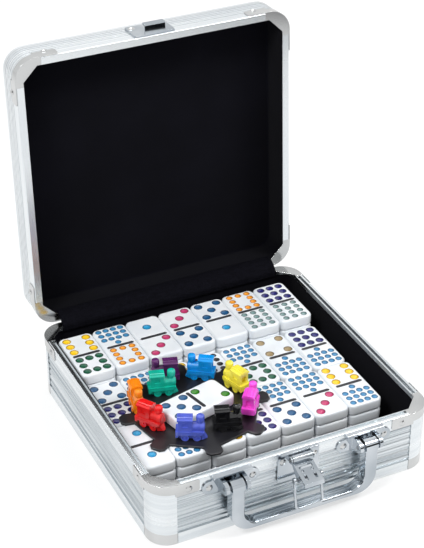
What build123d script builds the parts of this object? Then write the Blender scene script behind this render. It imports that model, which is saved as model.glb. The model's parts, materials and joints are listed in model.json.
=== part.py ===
from build123d import *
import os
from math import cos, pi, radians, sin, sqrt

# Domino set in a rigid case with metal edges, its lid open and the pieces laid out on the tiles.
# Millimetres. Origin at the bottom centre of the case body, X to the right, Y to the back, Z up.

# Case, outer sizes
case_width = 190.0
case_depth = 188.0
body_height = 45.0
lid_height = 26.0
corner_radius = 14.0
rim_gap = 0.3
open_angle = 93.0

# Walls, from the outer face inwards
rail_sheet = 1.0
panel_sheet = 0.8
rib_height = 0.6
rib_count = 6
rib_slope = 0.8
rib_groove = 1.0
board_sheet = 2.2
lining_sheet = 0.7
lining_floor = 0.5
base_board_sheet = 1.0
edge_round = 0.8
seat_gap = 0.3

# Rails round the rim and the foot of the body, and round the lid
rim_rail_height = 8.9
foot_rail_height = 8.2
foot_flange = 9.0
rim_lip = 2.0
rim_groove = 2.3
rim_groove_depth = 1.4
inner_lip = 0.7
inner_lip_drop = 0.2
inner_lip_leg = 3.4
lid_band_height = 5.0
lid_edge_round = 2.2
lid_groove_count = 5
lid_groove_pitch = 2.6
lid_groove_width = 0.6
lid_groove_depth = 0.35
lid_panel_drop = 0.8

# Corner pieces and rivets
post_leg = 1.0
cap_sheet = 0.6
cap_stand = 0.5
cap_top_reach = 17.5
cap_side_reach = 29.5
cap_corner_rise = 2.4
cap_web = 7.0
rivet_inset = 22.4
rivet_radius = 2.3
rivet_rise = 1.0
rivet_shank_radius = 1.2
cap_rivet_drop = 4.9
lid_rivet_rise = 7.7

# Long hinge at the back
hinge_knuckles = 13
hinge_drop = 0.7
knuckle_radius = 1.25
hinge_pin_radius = 0.6
hinge_leaf_sheet = 0.7
hinge_leaf_height = 10.0
turning_gap = 0.05
side_gap = 0.2

# Cloth strip over the hinge, inside the case
cloth_side_gap = 15.0
cloth_sheet = 0.5
cloth_overlap = 4.0

# Draw latch
latch_plate_width = 28.0
latch_plate_height = 21.4
latch_plate_drop = 0.2
latch_sheet = 1.0
latch_pivot_out = 4.5
latch_pivot_drop = 3.6
latch_ear_radius = 2.5
latch_ear_sheet = 0.8
latch_pin_radius = 1.0
latch_lip_rise = 1.4
latch_lip_height = 1.4
latch_rivet_spread = 10.7
latch_rivet_drop = 6.5
lever_width = 13.2
lever_sheet = 1.0
lever_curl = 2.7
lever_hood_drop = 2.4
lever_reach = 13.9
lever_fall = 4.5
lever_lip_reach = 0.8
lever_lip_fall = 2.4
lever_window_width = 9.0
lever_window_start = 0.9
lever_window_length = 2.3
lever_hole_radius = 0.9
lever_hole_spread = 3.2
lever_hole_place = 5.0
lever_slot_length = 4.4
lever_slot_place = 9.6
bail_pivot_out = 8.1
bail_pivot_drop = 9.2
bail_pivot_shut_in = 1.2
bail_pin_radius = 0.9
bail_wire_radius = 0.9
bail_length = 19.3
bail_tilt = 10.8
bail_eye_radius = 1.9
bail_eye_sheet = 1.4
bail_corner = 2.0
hook_width = 14.0
hook_reach = 6.2
hook_tip = 4.2
catch_plate_height = 18.0
catch_rivet_rise = 13.7
catch_seat_gap = 0.1

# Carrying handle and its two brackets
handle_from_side = 49.8
handle_arm_width = 8.4
handle_depth = 9.0
handle_front = 12.0
handle_foot = 4.6
handle_grip_height = 4.2
handle_outer_corner = 13.5
handle_inner_corner = 9.0
handle_edge = 1.6
handle_pivot_drop = 7.2
handle_pin_radius = 1.5
bracket_sheet = 1.0
bracket_ear_sheet = 2.5
bracket_ear_gap = 1.4
bracket_ear_radius = 4.0
bracket_rivet_spread = 14.3
bracket_rivet_drop = 1.4
bracket_lug_radius = 4.6
bracket_hood_width = 25.6
bracket_hood_rise = 2.6
bracket_hood_height = 3.0
bracket_foot_drop = 5.0
bracket_top_drop = 0.1

# Tiles
tile_slenderness = 1.958
tile_thickness = 8.0
tile_corner = 2.8
tile_edge = 1.0
tile_gap = 0.3
tile_columns = 7
tile_rows = 3
tile_layers = 4
tiles_from_left = 7.0
tiles_from_right = 15.3
tiles_front_share = 0.74
bar_length = 18.7
bar_width = 1.9
bar_depth = 0.4

# Hub plate for the locomotives with a tile in the middle, made for tiles of the standard width
standard_tile_width = 23.7
hub_columns = 2.28
hub_from_back_row = 52.1
hub_apothem = 39.6
hub_sheet = 1.5
hub_turn = 35.0
hub_tab_width = 10.8
hub_tab_reach = 48.6
hub_tab_chamfer = 2.4
hub_edge = 0.4
hub_tile_turn = 13.6
hub_tile_place = (-0.7, -2.7)

# Little locomotives, made for the same tiles, facing +X with the middle of the wheels at X 0
loco_height = 17.6
step_width = 8.4
step_low = 4.2
step_high = 7.0
step_back = 9.5
step_front = 7.6
step_drop = 1.4
step_slope = 0.7
step_line = 0.5
wheel_radius = 2.4
wheel_width = 1.5
wheel_base = 7.3
wheel_track = 8.0
wheel_rim = 0.6
wheel_dish = 0.4
chassis_width = 5.0
chassis_length = 14.6
chassis_low = 1.2
beam_sheet = 1.2
beam_width = 7.4
catcher_reach = 2.4
catcher_low = 0.6
catcher_width = 6.6
boiler_radius = 3.1
boiler_back = 0.4
boiler_front = 8.1
boiler_middle = 8.9
smokebox_length = 2.4
smokebox_step = 0.25
door_radius = 2.0
door_rise = 0.4
chimney_place = 5.7
chimney_foot = 1.9
chimney_head = 2.6
chimney_flare_low = 12.6
chimney_flare_high = 13.5
chimney_shoulder = 16.3
cab_back = 7.9
cab_front = 0.7
cab_width = 7.3
window_length = 3.4
window_height = 2.8
window_middle = 11.6
window_depth = 0.6
doorway_width = 3.6
doorway_low = 7.6
doorway_high = 12.8
doorway_depth = 2.0
roof_length = 9.7
roof_width = 8.0
roof_rise = 1.1
roof_sheet = 1.0
roof_front = 1.1
roof_strips = 4
roof_strip = 0.5
eaves_height = 14.4

# Where each locomotive stands from the middle of the hub, as X, Y and the way it faces in degrees
locomotives = {
    "purple": (-5.7, 34.1, 161.5),
    "teal": (-12.1, 22.9, -16.0),
    "light_blue": (16.9, 27.7, 145.0),
    "yellow": (32.1, 7.7, 107.0),
    "pink": (30.4, -17.7, 51.0),
    "black": (9.1, -28.3, -19.0),
    "periwinkle": (-15.2, -26.8, -27.0),
    "red": (-32.5, -5.5, -57.0),
    "orange": (-33.1, 15.9, -100.0),
}

# Heights and places that follow from the sizes above
rim_low = body_height - rim_rail_height
lid_low = body_height + rim_gap
lid_top = body_height + lid_height
panel_inset = rail_sheet
board_inset = panel_inset + panel_sheet
lining_inset = board_inset + board_sheet
room_inset = lining_inset + lining_sheet
lip_inset = rim_lip + rim_groove
rim_inset = lip_inset + inner_lip
groove_height = body_height - rim_groove_depth
web_low = groove_height - rail_sheet
leg_low = web_low + rail_sheet + rim_groove_depth - inner_lip_leg
board_low = rail_sheet + base_board_sheet
floor_height = board_low + lining_floor
front_face = -case_depth / 2
back_face = case_depth / 2
hinge_half_length = case_width / 2 - cap_side_reach - seat_gap
hinge_y = back_face + knuckle_radius
hinge_z = body_height - hinge_drop
hinge_axis = Axis((0, hinge_y, hinge_z), (1, 0, 0))
latch_face = front_face - latch_sheet
latch_pivot_y = front_face - latch_pivot_out
latch_pivot_z = body_height - latch_pivot_drop
bail_pivot_y = latch_pivot_y - bail_pivot_out
bail_pivot_z = latch_pivot_z - bail_pivot_drop
cloth_half_width = case_width / 2 - cloth_side_gap
handle_spread = case_width / 2 - handle_from_side
handle_pivot_height = body_height - handle_pivot_drop
handle_pivot_y = front_face - handle_front + handle_depth / 2
handle_eye_radius = handle_depth / 2
tile_width = (case_width - tiles_from_left - tiles_from_right - (tile_columns - 1) * tile_gap) / tile_columns
tile_length = tile_slenderness * tile_width
column_pitch = tile_width + tile_gap
row_pitch = tile_length + tile_gap
spare_depth = case_depth - 2 * room_inset - tile_rows * row_pitch + tile_gap
tiles_left = -case_width / 2 + tiles_from_left
tiles_front = front_face + room_inset + tiles_front_share * spare_depth
back_row_front = tiles_front + (tile_rows - 1) * row_pitch
stack_top = floor_height + tile_layers * tile_thickness
hub_scale = tile_width / standard_tile_width
hub_x = tiles_left + hub_columns * column_pitch
hub_y = back_row_front - hub_from_back_row * hub_scale
hub_top = stack_top + hub_sheet * hub_scale


# A closed outline through points
def outline(points):
    return make_face(Polyline(*points, close=True))


# An outline in X and Z, made a plate between two depths, the nearer one first
def front_plate(face, near, far):
    return extrude(Plane.XZ.offset(-near) * face, near - far)


# An outline in Y and Z, made a plate between two places along X
def side_plate(face, low, high):
    return extrude(Plane.YZ.offset(low) * face, high - low)


# A block with the rounded outline of the case, drawn in by inset
def block(inset, low, high):
    radius = max(corner_radius - inset, edge_round)
    face = RectangleRounded(case_width - 2 * inset, case_depth - 2 * inset, radius)
    return Pos(0, 0, low) * extrude(face, high - low)


# A ring that follows the case between two insets
def ring(outer, inner, low, high):
    return block(outer, low, high) - block(inner, low - 1, high + 1)


# The four corner regions of the case, as far along each side as reach
def corner_regions(reach, low, high):
    size = reach + 2 * cap_stand
    middle_x = case_width / 2 - reach + size / 2
    middle_y = case_depth / 2 - reach + size / 2
    places = [Pos(x * middle_x, y * middle_y, (low + high) / 2) for x in (-1, 1) for y in (-1, 1)]
    return Compound([place * Box(size, size, high - low) for place in places])


# Several solids kept apart in one piece list
def together(shapes):
    solids = [solid for shape in shapes for solid in shape.solids()]
    return Compound(solids)


# The lid's pieces are drawn closed and turned open about the hinge
def opened(shape):
    return shape.rotate(hinge_axis, -open_angle)


# A domed rivet head with its shank, pointing along Z
def rivet(grip):
    dome = (rivet_radius**2 + rivet_rise**2) / (2 * rivet_rise)
    head = Pos(0, 0, rivet_rise - dome) * Sphere(dome)
    head = head & Pos(0, 0, rivet_rise) * Cylinder(rivet_radius, 2 * rivet_rise)
    shank = Pos(0, 0, -grip / 2) * Cylinder(rivet_shank_radius, grip)
    return head + shank


# Rivets on the four sides near each corner, standing on the caps
def corner_rivets(height):
    x = case_width / 2 - rivet_inset
    y = case_depth / 2 - rivet_inset
    grip = cap_stand + rail_sheet
    front = back_face + cap_stand
    side = case_width / 2 + cap_stand
    made = []
    for turn in (0, 180):
        for along in (-x, x):
            made.append(Rot(0, 0, turn) * Pos(along, -front, height) * Rot(90, 0, 0) * rivet(grip))
        for along in (-y, y):
            made.append(Rot(0, 0, turn) * Pos(side, along, height) * Rot(0, 90, 0) * rivet(grip))
    return together(made)


# Section of one ribbed wall: a flat sheet that carries round-shouldered ribs
def ribbed_wall(length):
    low = foot_rail_height + seat_gap
    span = rim_low - seat_gap - low
    step = span / rib_count
    face = -panel_inset
    crest = face + rib_height
    points = [(face, low)]
    for rib in range(rib_count):
        start = low + rib * step + rib_groove / 2
        end = low + (rib + 1) * step - rib_groove / 2
        points += [(face, start), (crest, start + rib_slope), (crest, end - rib_slope), (face, end)]
    points += [(face, low + span), (face - panel_sheet / 2, low + span), (face - panel_sheet / 2, low)]
    unique = [point for place, point in enumerate(points) if point != points[place - 1]]
    leg = corner_radius + post_leg + seat_gap
    ribs = side_plate(outline(unique), -length / 2 + leg, length / 2 - leg)
    flat = length / 2 - corner_radius
    sheet = Box(2 * flat, panel_sheet, web_low - board_low, align=(Align.CENTER, Align.MAX, Align.MIN))
    return ribs + Pos(0, -panel_inset, board_low) * sheet


# The four ribbed panels, each behind the rails above and below it
def panels():
    front = ribbed_wall(case_width)
    side = ribbed_wall(case_depth)
    return {
        "panel_front": Rot(0, 0, 180) * (Pos(0, back_face, 0) * front),
        "panel_back": Pos(0, back_face, 0) * front,
        "panel_left": Rot(0, 0, 90) * (Pos(0, case_width / 2, 0) * side),
        "panel_right": Rot(0, 0, -90) * (Pos(0, case_width / 2, 0) * side),
    }


# Rail along the rim, with an outer lip, a groove and a thin inner lip
def body_rim():
    outer = block(0, rim_low, body_height)
    outer = fillet(outer.faces().sort_by(Axis.Z)[-1].edges(), edge_round)
    rim = outer - block(rail_sheet, rim_low - 1, web_low) - block(rim_lip, groove_height, body_height + 1)
    rim = rim - block(lip_inset, web_low - 1, groove_height + 1)
    leg = ring(lip_inset, rim_inset, leg_low, body_height - inner_lip_drop)
    seat = block(-1, body_height - cap_sheet, body_height + 1)
    seat = seat & corner_regions(cap_top_reach, rim_low, body_height + 2)
    shank_holes = corner_rivets(body_height - cap_rivet_drop)
    return rim + leg - seat - shank_holes


# Rail along the foot, its flange turned in under the base, between the corner feet
def foot_parts():
    outer = block(0, 0, foot_rail_height)
    outer = fillet(outer.faces().sort_by(Axis.Z)[0].edges(), edge_round)
    whole = outer - block(rail_sheet, rail_sheet, foot_rail_height + 1)
    whole = whole - block(foot_flange, -1, rail_sheet + 1)
    region = corner_regions(corner_radius + post_leg, -1, foot_rail_height + 1)
    feet = whole & region
    wider = corner_regions(corner_radius + post_leg + seat_gap, -1, foot_rail_height + 1)
    return together([whole - wider]), together([feet])


# Quarter-round posts that close the panels at the corners
def corner_posts():
    wall = ring(0, rail_sheet, foot_rail_height, rim_low)
    return together([wall & corner_regions(corner_radius + post_leg, 0, body_height)])


# Rounded tongue shape of one cap, seen from outside
def cap_tongues(low, high):
    reach = 2 * cap_side_reach
    middle = (low + high) / 2
    front = RectangleRounded(reach, high - low, edge_round * 2)
    made = []
    for x in (-1, 1):
        place = Pos(x * case_width / 2, middle)
        made.append(front_plate(place * front, case_depth, -case_depth))
    for y in (-1, 1):
        place = Pos(y * case_depth / 2, middle)
        made.append(side_plate(place * front, -case_width, case_width))
    return made


# One set of four corner caps: a skin round the corner, a plate on the rim and a small web inside
def corner_caps(plate_low, plate_high, skin_low, skin_high, relief_low, relief_high):
    middle = (skin_low + skin_high) / 2
    shell = ring(-cap_stand, 0, skin_low, skin_high)
    front_part, other_front, side_part, other_side = cap_tongues(skin_low, skin_high)
    near_y = Box(2 * case_width, 2 * corner_radius, 2 * middle)
    near_x = Box(2 * corner_radius, 2 * case_depth, 2 * middle)
    near_fronts = Pos(0, -back_face, middle) * near_y + Pos(0, back_face, middle) * near_y
    fronts = (front_part + other_front) & near_fronts
    side_x = case_width / 2
    sides = (side_part + other_side) & (Pos(-side_x, 0, middle) * near_x + Pos(side_x, 0, middle) * near_x)
    skin = (shell & fronts) + (shell & sides)
    relief = corner_regions(corner_radius, relief_low, relief_high)
    skin = skin - relief
    plate = ring(-cap_stand, rim_inset, plate_low, plate_high)
    plate = plate & corner_regions(cap_top_reach, plate_low - 1, plate_high + 1)
    return together([skin + plate + cap_webs(plate_low, plate_high)])


# Small three-cornered webs in the inner corners of the caps
def cap_webs(low, high):
    inner_x = case_width / 2 - rim_inset
    inner_y = case_depth / 2 - rim_inset
    hidden = corner_radius - rim_inset
    reach = cap_web + hidden * (2 - sqrt(2)) / 2
    webs = []
    for x in (-1, 1):
        for y in (-1, 1):
            tip = (x * inner_x, y * inner_y)
            along = (x * (inner_x - reach), y * inner_y)
            across = (x * inner_x, y * (inner_y - reach))
            web = Pos(0, 0, low) * extrude(outline([tip, along, across]), high - low)
            webs.append(web)
    inside = block(rim_inset - 0.01, low - 1, high + 1)
    return Compound([(web & inside) for web in webs])


# Lining of the body: floor and walls in one piece
def body_lining():
    return block(lining_inset, board_low, leg_low) - block(room_inset, floor_height, leg_low + 1)


# Base board, rebated over the foot flanges, and the board walls behind the panels
def body_boards():
    field = block(foot_flange + seat_gap, 0, board_low)
    base = block(rail_sheet + seat_gap, rail_sheet, board_low) + field
    walls = ring(board_inset, lining_inset, board_low, web_low)
    return base, walls


# Lid wall with fine lengthwise grooves and a flat rim turned inwards
def lid_frame():
    high = lid_top - lid_band_height
    outer = block(0, lid_low, high)
    outer = fillet(outer.faces().sort_by(Axis.Z)[0].edges(), edge_round)
    wall = outer - block(rail_sheet, lid_low + rail_sheet, high + 1) - block(rim_inset, lid_low - 1, high)
    middle = (lid_low + high) / 2 + lid_groove_pitch
    first = middle - (lid_groove_count - 1) / 2 * lid_groove_pitch
    for step in range(lid_groove_count):
        low = first + step * lid_groove_pitch
        wall = wall - ring(-1, lid_groove_depth, low, low + lid_groove_width)
    seat = block(-1, lid_low - 1, lid_low + cap_sheet) & corner_regions(cap_top_reach, 0, lid_top)
    return wall - seat - corner_rivets(lid_low + lid_rivet_rise)


# Band along the top edge of the lid, rounded over and turned in above the top panel
def lid_band():
    outer = block(0, lid_top - lid_band_height + seat_gap, lid_top)
    outer = fillet(outer.faces().sort_by(Axis.Z)[-1].edges(), lid_edge_round)
    band = outer - block(rail_sheet, 0, lid_top - lid_panel_drop)
    return band - block(foot_flange, 0, lid_top + 1)


# Top panel of the lid, the board under it and the board walls
def lid_boards():
    panel_high = lid_top - lid_panel_drop
    board_high = panel_high - panel_sheet
    panel = block(rail_sheet + seat_gap, board_high, panel_high)
    top = block(rail_sheet + seat_gap, board_high - base_board_sheet, board_high)
    walls = ring(rail_sheet, lining_inset, lid_low + rail_sheet, board_high - base_board_sheet)
    return panel, top, walls


# Lining of the lid: ceiling and walls in one piece
def lid_lining():
    high = lid_top - lid_panel_drop - panel_sheet - base_board_sheet
    low = lid_low + rail_sheet
    return block(lining_inset, low, high) - block(room_inset, low - 1, high - lining_floor)


# Knuckles of one hinge leaf, every second one along the pin
def hinge_leaf(first, bore, up):
    length = 2 * hinge_half_length / hinge_knuckles
    made = None
    for place in range(first, hinge_knuckles, 2):
        start = -hinge_half_length + place * length + side_gap / 2
        end = start + length - side_gap
        barrel = side_plate(Pos(hinge_y, hinge_z) * Circle(knuckle_radius), start, end)
        tie_high = hinge_z + up * (hinge_drop + rim_gap + rail_sheet)
        inner = back_face
        tie = outline([(inner, hinge_z), (inner + hinge_leaf_sheet, hinge_z),
                       (inner + hinge_leaf_sheet, tie_high), (inner, tie_high)])
        knuckle = barrel + side_plate(tie, start, end)
        made = knuckle if made is None else made + knuckle
    edge = knuckle_radius + side_gap
    low = min(hinge_z + up * edge, hinge_z + up * hinge_leaf_height)
    plate = Box(2 * hinge_half_length, hinge_leaf_sheet, hinge_leaf_height - edge,
                align=(Align.CENTER, Align.MIN, Align.MIN))
    made = made + Pos(0, back_face, low) * plate
    pin = side_plate(Pos(hinge_y, hinge_z) * Circle(bore), -case_width, case_width)
    return made - pin


# Pin through all the knuckles
def hinge_pin():
    return side_plate(Pos(hinge_y, hinge_z) * Circle(hinge_pin_radius), -hinge_half_length, hinge_half_length)


# Where a point of the closed lid, in Y and Z, stands when the lid is open
def lid_point(y, z):
    turn = radians(open_angle)
    across = y - hinge_y
    up = z - hinge_z
    return hinge_y + across * cos(turn) + up * sin(turn), hinge_z - across * sin(turn) + up * cos(turn)


# Cloth strip from the inner wall of the body, over the rims, to the inner wall of the lid
def hinge_cloth():
    inner = back_face - rim_inset - seat_gap
    rim_y, rim_z = lid_point(back_face - rim_inset, lid_low)
    edge_z = rim_z + seat_gap
    points = [
        (inner, body_height - cloth_overlap),
        (inner, body_height + seat_gap),
        (rim_y - seat_gap, edge_z),
        (rim_y + cloth_overlap, edge_z),
        (rim_y + cloth_overlap, edge_z + cloth_sheet),
        (rim_y - seat_gap - cloth_sheet / 2, edge_z + cloth_sheet),
        (inner - cloth_sheet, body_height + 2 * seat_gap),
        (inner - cloth_sheet, body_height - cloth_overlap),
    ]
    return side_plate(outline(points), -cloth_half_width, cloth_half_width)


# Base plate of the latch with its rolled top lip and two ears for the lever
def latch_base():
    high = body_height - latch_plate_drop
    middle = high - latch_plate_height / 2
    plate_face = Pos(0, middle) * RectangleRounded(latch_plate_width, latch_plate_height, edge_round * 2)
    plate = front_plate(plate_face, front_face, latch_face)
    lip_far = latch_face - latch_lip_rise
    lip_low = high - latch_lip_height
    lip_face = outline([(latch_face, lip_low), (lip_far, lip_low), (lip_far, high), (latch_face, high)])
    half = latch_plate_width / 2 - edge_round * 2
    lip = side_plate(lip_face, -half, half)
    lip = fillet(lip.edges().filter_by(Axis.X).sort_by(Axis.Y)[:2], latch_lip_height * 0.4)
    plate = plate + lip
    pivot = Pos(latch_pivot_y, latch_pivot_z)
    low = latch_pivot_z - latch_ear_radius
    high_edge = latch_pivot_z + latch_ear_radius * 0.6
    root = outline([(latch_face, low), (latch_pivot_y, low),
                    (latch_pivot_y, high_edge), (latch_face, high_edge)])
    ear = pivot * Circle(latch_ear_radius) + root - pivot * Circle(latch_pin_radius)
    inner = lever_width / 2 + seat_gap
    for start in (inner, -inner - latch_ear_sheet):
        plate = plate + side_plate(ear, start, start + latch_ear_sheet)
    for x in (-latch_rivet_spread, latch_rivet_spread):
        hole = Pos(x, body_height - latch_rivet_drop) * Circle(rivet_shank_radius)
        plate = plate - front_plate(hole, front_face + 1, latch_face - 1)
    return plate


# Pin that the lever turns on
def latch_pin():
    half = lever_width / 2 + seat_gap + latch_ear_sheet
    return side_plate(Pos(latch_pivot_y, latch_pivot_z) * Circle(latch_pin_radius), -half, half)


# Section of the lever's sheet, swung out: a curl round the pin, a hood, a long web and a lip turned down
def lever_section():
    web_far = lever_curl + lever_reach
    web_low = lever_hood_drop + lever_fall
    sheet = lever_sheet
    points = [
        (-lever_curl, 0),
        (-lever_curl, -lever_hood_drop),
        (-web_far, -web_low),
        (-web_far - lever_lip_reach, -web_low - lever_lip_fall),
        (-web_far - lever_lip_reach + sheet, -web_low - lever_lip_fall - sheet / 4),
        (-web_far + sheet, -web_low - sheet),
        (-lever_curl + sheet, -lever_hood_drop - sheet),
        (-lever_curl + sheet, 0),
    ]
    low_half = Pos(0, -lever_curl) * Rectangle(4 * lever_curl, 2 * lever_curl)
    return outline(points) + (Circle(lever_curl) - Circle(lever_curl - sheet) - low_half)


# One side flange of the lever, from the pin to the bail's pin
def lever_flange():
    web_turn = lever_reach * 0.7
    points = [
        (lever_curl - turning_gap, 0),
        (-lever_curl, 0),
        (-lever_curl, -lever_hood_drop),
        (-lever_curl - web_turn, -lever_hood_drop - lever_fall * 0.7),
        (-bail_pivot_out - bail_eye_radius * 0.8, -bail_pivot_drop - bail_eye_radius * 0.6),
        (-bail_pivot_out + bail_eye_radius * 0.7, -bail_pivot_drop - bail_eye_radius * 0.7),
    ]
    far_pin = Pos(-bail_pivot_out, -bail_pivot_drop)
    flange = outline(points) + Circle(lever_curl) + far_pin * Circle(bail_eye_radius)
    flange = flange - Circle(latch_pin_radius + turning_gap)
    return flange - far_pin * Circle(bail_pin_radius + turning_gap)


# Openings in the lever's web: a window under the hood, two round holes and two slots
def lever_openings():
    start = lever_curl + lever_window_start
    high = lever_hood_drop + lever_fall
    middle_y = -start - lever_window_length / 2
    window = Box(lever_window_width, lever_window_length, high)
    made = [Pos(0, middle_y, -high / 2 - lever_hood_drop / 2) * window]
    for x in (-lever_hole_spread, lever_hole_spread):
        hole = Pos(x, -lever_curl - lever_hole_place) * Circle(lever_hole_radius)
        slot = SlotOverall(lever_slot_length, 2 * lever_hole_radius, rotation=90)
        slot = Pos(x, -lever_curl - lever_slot_place) * slot
        made.append(Pos(0, 0, -high - lever_hood_drop) * extrude(hole + slot, high + lever_hood_drop))
    return made


# Lever as it stands with the case open
def latch_lever():
    half = lever_width / 2
    lever = side_plate(lever_section(), -half, half)
    for opening in lever_openings():
        lever = lever - opening
    for start in (-half, half - lever_sheet):
        lever = lever + side_plate(lever_flange(), start, start + lever_sheet)
    return Pos(0, latch_pivot_y, latch_pivot_z) * lever


# Pin that joins the bail to the lever
def bail_pin():
    half = lever_width / 2 + latch_ear_sheet + 2 * seat_gap + 2 * bail_wire_radius + seat_gap / 2
    return side_plate(Pos(bail_pivot_y, bail_pivot_z) * Circle(bail_pin_radius), -half, half)


# Wire loop that hangs from the lever, leaning out a little: two eyes, two legs and a cross bar
def latch_bail():
    y, z = bail_pivot_y, bail_pivot_z
    side = lever_width / 2 + latch_ear_sheet + 2 * seat_gap + bail_wire_radius + seat_gap / 2
    low = z - bail_length
    top = z - bail_pin_radius - turning_gap - bail_wire_radius / 2
    points = [(-side, y, top), (-side, y, low), (side, y, low), (side, y, top)]
    path = FilletPolyline(*points, radius=bail_corner)
    start = Plane(origin=path @ 0, z_dir=path % 0)
    bail = sweep(start * Circle(bail_wire_radius), path=path)
    eye = Pos(y, z) * (Circle(bail_eye_radius) - Circle(bail_pin_radius + turning_gap))
    for x in (-side, side):
        bail = bail + side_plate(eye, x - bail_eye_sheet / 2, x + bail_eye_sheet / 2)
    return bail.rotate(Axis((0, y, z), (1, 0, 0)), -bail_tilt)


# Catch on the lid: a plate with a hook that the bail pulls down on
def catch_plate():
    shut_drop = sqrt(bail_pivot_out**2 + bail_pivot_drop**2 - bail_pivot_shut_in**2)
    bar = latch_pivot_z - shut_drop + bail_length
    ledge_high = bar - bail_wire_radius - catch_seat_gap
    ledge_low = ledge_high - lever_sheet
    middle = ledge_low + catch_plate_height / 2
    face = Pos(0, middle) * RectangleRounded(latch_plate_width, catch_plate_height, edge_round * 2)
    plate = front_plate(face, front_face, latch_face)
    far = latch_face - hook_reach
    near = far + lever_sheet
    tip_high = ledge_low + hook_tip
    lean = lever_sheet / 2
    hook_face = outline([(latch_face, ledge_low), (far, ledge_low), (far - lean, tip_high),
                         (near - lean, tip_high), (near, ledge_high), (latch_face, ledge_high)])
    hook = side_plate(hook_face, -hook_width / 2, hook_width / 2)
    hook = fillet(hook.edges().filter_by(Axis.X).group_by(Axis.Z)[0].sort_by(Axis.Y)[0], edge_round)
    plate = plate + hook
    for x in (-latch_rivet_spread, latch_rivet_spread):
        hole = Pos(x, ledge_low + catch_rivet_rise) * Circle(rivet_shank_radius)
        plate = plate - front_plate(hole, front_face + 1, latch_face - 1)
    return plate, ledge_low + catch_rivet_rise


# Rivets along the front, standing on a plate of the given thickness
def front_rivets(spread, middles, height, sheet):
    turn = Rot(90, 0, 0)
    face = front_face - sheet
    places = [Pos(middle + side * spread, face, height) for middle in middles for side in (-1, 1)]
    return together([place * turn * rivet(sheet) for place in places])


# One handle bracket: a riveted foot, a pressed hood above and two ears for the pin
def handle_bracket(middle):
    high = body_height - bracket_top_drop
    low = handle_pivot_height - bracket_foot_drop
    height = high - low
    centre = Pos(middle, (high + low) / 2) * Rectangle(bracket_hood_width, height)
    rivet_height = handle_pivot_height - bracket_rivet_drop
    lugs = SlotCenterToCenter(2 * bracket_rivet_spread, 2 * bracket_lug_radius)
    foot = centre + Pos(middle, rivet_height) * lugs
    far = front_face - bracket_sheet
    bracket = front_plate(foot, front_face, far)
    hood_low = high - bracket_hood_height
    hood_far = far - bracket_hood_rise
    hood_face = outline([(far, hood_low), (hood_far, hood_low + bracket_hood_height * 0.4),
                         (hood_far, high), (far, high)])
    hood = side_plate(hood_face, middle - bracket_hood_width / 2, middle + bracket_hood_width / 2)
    hood = fillet(hood.edges().filter_by(Axis.X).sort_by(Axis.Y)[:2], bracket_hood_height * 0.2)
    bracket = bracket + hood
    pivot = Pos(handle_pivot_y, handle_pivot_height)
    root = outline([(far, low), (handle_pivot_y, handle_pivot_height - bracket_ear_radius),
                    (handle_pivot_y, handle_pivot_height + bracket_ear_radius), (far, hood_low)])
    ear = pivot * Circle(bracket_ear_radius) + root - pivot * Circle(handle_pin_radius)
    inner = handle_arm_width / 2 + bracket_ear_gap
    for start in (inner, -inner - bracket_ear_sheet):
        bracket = bracket + side_plate(ear, middle + start, middle + start + bracket_ear_sheet)
    for side in (-1, 1):
        hole = Pos(middle + side * bracket_rivet_spread, rivet_height) * Circle(rivet_shank_radius)
        bracket = bracket - front_plate(hole, front_face + 1, far - 1)
    return bracket


# Pin of one bracket
def handle_pin(middle):
    half = handle_arm_width / 2 + bracket_ear_gap + bracket_ear_sheet
    face = Pos(handle_pivot_y, handle_pivot_height) * Circle(handle_pin_radius)
    return side_plate(face, middle - half, middle + half)


# Handle: a square-shouldered loop with round eyes at the top of its arms
def handle():
    outer_half = handle_spread + handle_arm_width / 2
    inner_half = handle_spread - handle_arm_width / 2
    grip_top = handle_foot + handle_grip_height
    tall = 2 * (handle_pivot_height - handle_foot)
    outer = Pos(0, handle_foot + tall / 2) * RectangleRounded(2 * outer_half, tall, handle_outer_corner)
    inner_tall = 2 * (handle_pivot_height - grip_top)
    inner = RectangleRounded(2 * inner_half, inner_tall, handle_inner_corner)
    inner = Pos(0, grip_top + inner_tall / 2) * inner
    above = Pos(0, handle_pivot_height + tall) * Rectangle(4 * outer_half, 2 * tall)
    near = handle_pivot_y + handle_depth / 2
    far = handle_pivot_y - handle_depth / 2
    loop = front_plate(outer - inner - above, near, far)
    long_edges = [edge for edge in loop.edges()
                  if abs(edge.center().Y - near) < 0.01 or abs(edge.center().Y - far) < 0.01]
    rounded = [edge for edge in long_edges if edge.center().Z < handle_pivot_height - 0.01]
    loop = fillet(rounded, handle_edge)
    pivot = Pos(handle_pivot_y, handle_pivot_height)
    for middle in (-handle_spread, handle_spread):
        start = middle - handle_arm_width / 2
        loop = loop + side_plate(pivot * Circle(handle_eye_radius), start, start + handle_arm_width)
        bore = pivot * Circle(handle_pin_radius + turning_gap)
        loop = loop - side_plate(bore, start - 1, start + handle_arm_width + 1)
    return loop


# One tile lying flat, its lower face at Z 0: rounded corners and softened edges
def tile(soft):
    body = extrude(RectangleRounded(tile_width, tile_length, tile_corner), tile_thickness)
    if soft:
        body = chamfer(body.faces().sort_by(Axis.Z)[-1].edges(), tile_edge / 2)
        groove = extrude(SlotOverall(bar_length, bar_width), bar_depth + 1)
        body = body - Pos(0, 0, tile_thickness - bar_depth) * groove
    return body


# Where a tile lies, by column and row, at a height
def tile_place(column, row, height):
    x = tiles_left + column * column_pitch + tile_width / 2
    y = tiles_front + row * row_pitch + tile_length / 2
    return Pos(x, y, height)


# A layer of tiles, side by side in the given rows
def tile_layer(layer, rows, soft):
    height = floor_height + layer * tile_thickness
    one = tile(soft)
    return together([tile_place(column, row, height) * one for row in rows for column in range(tile_columns)])


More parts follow.
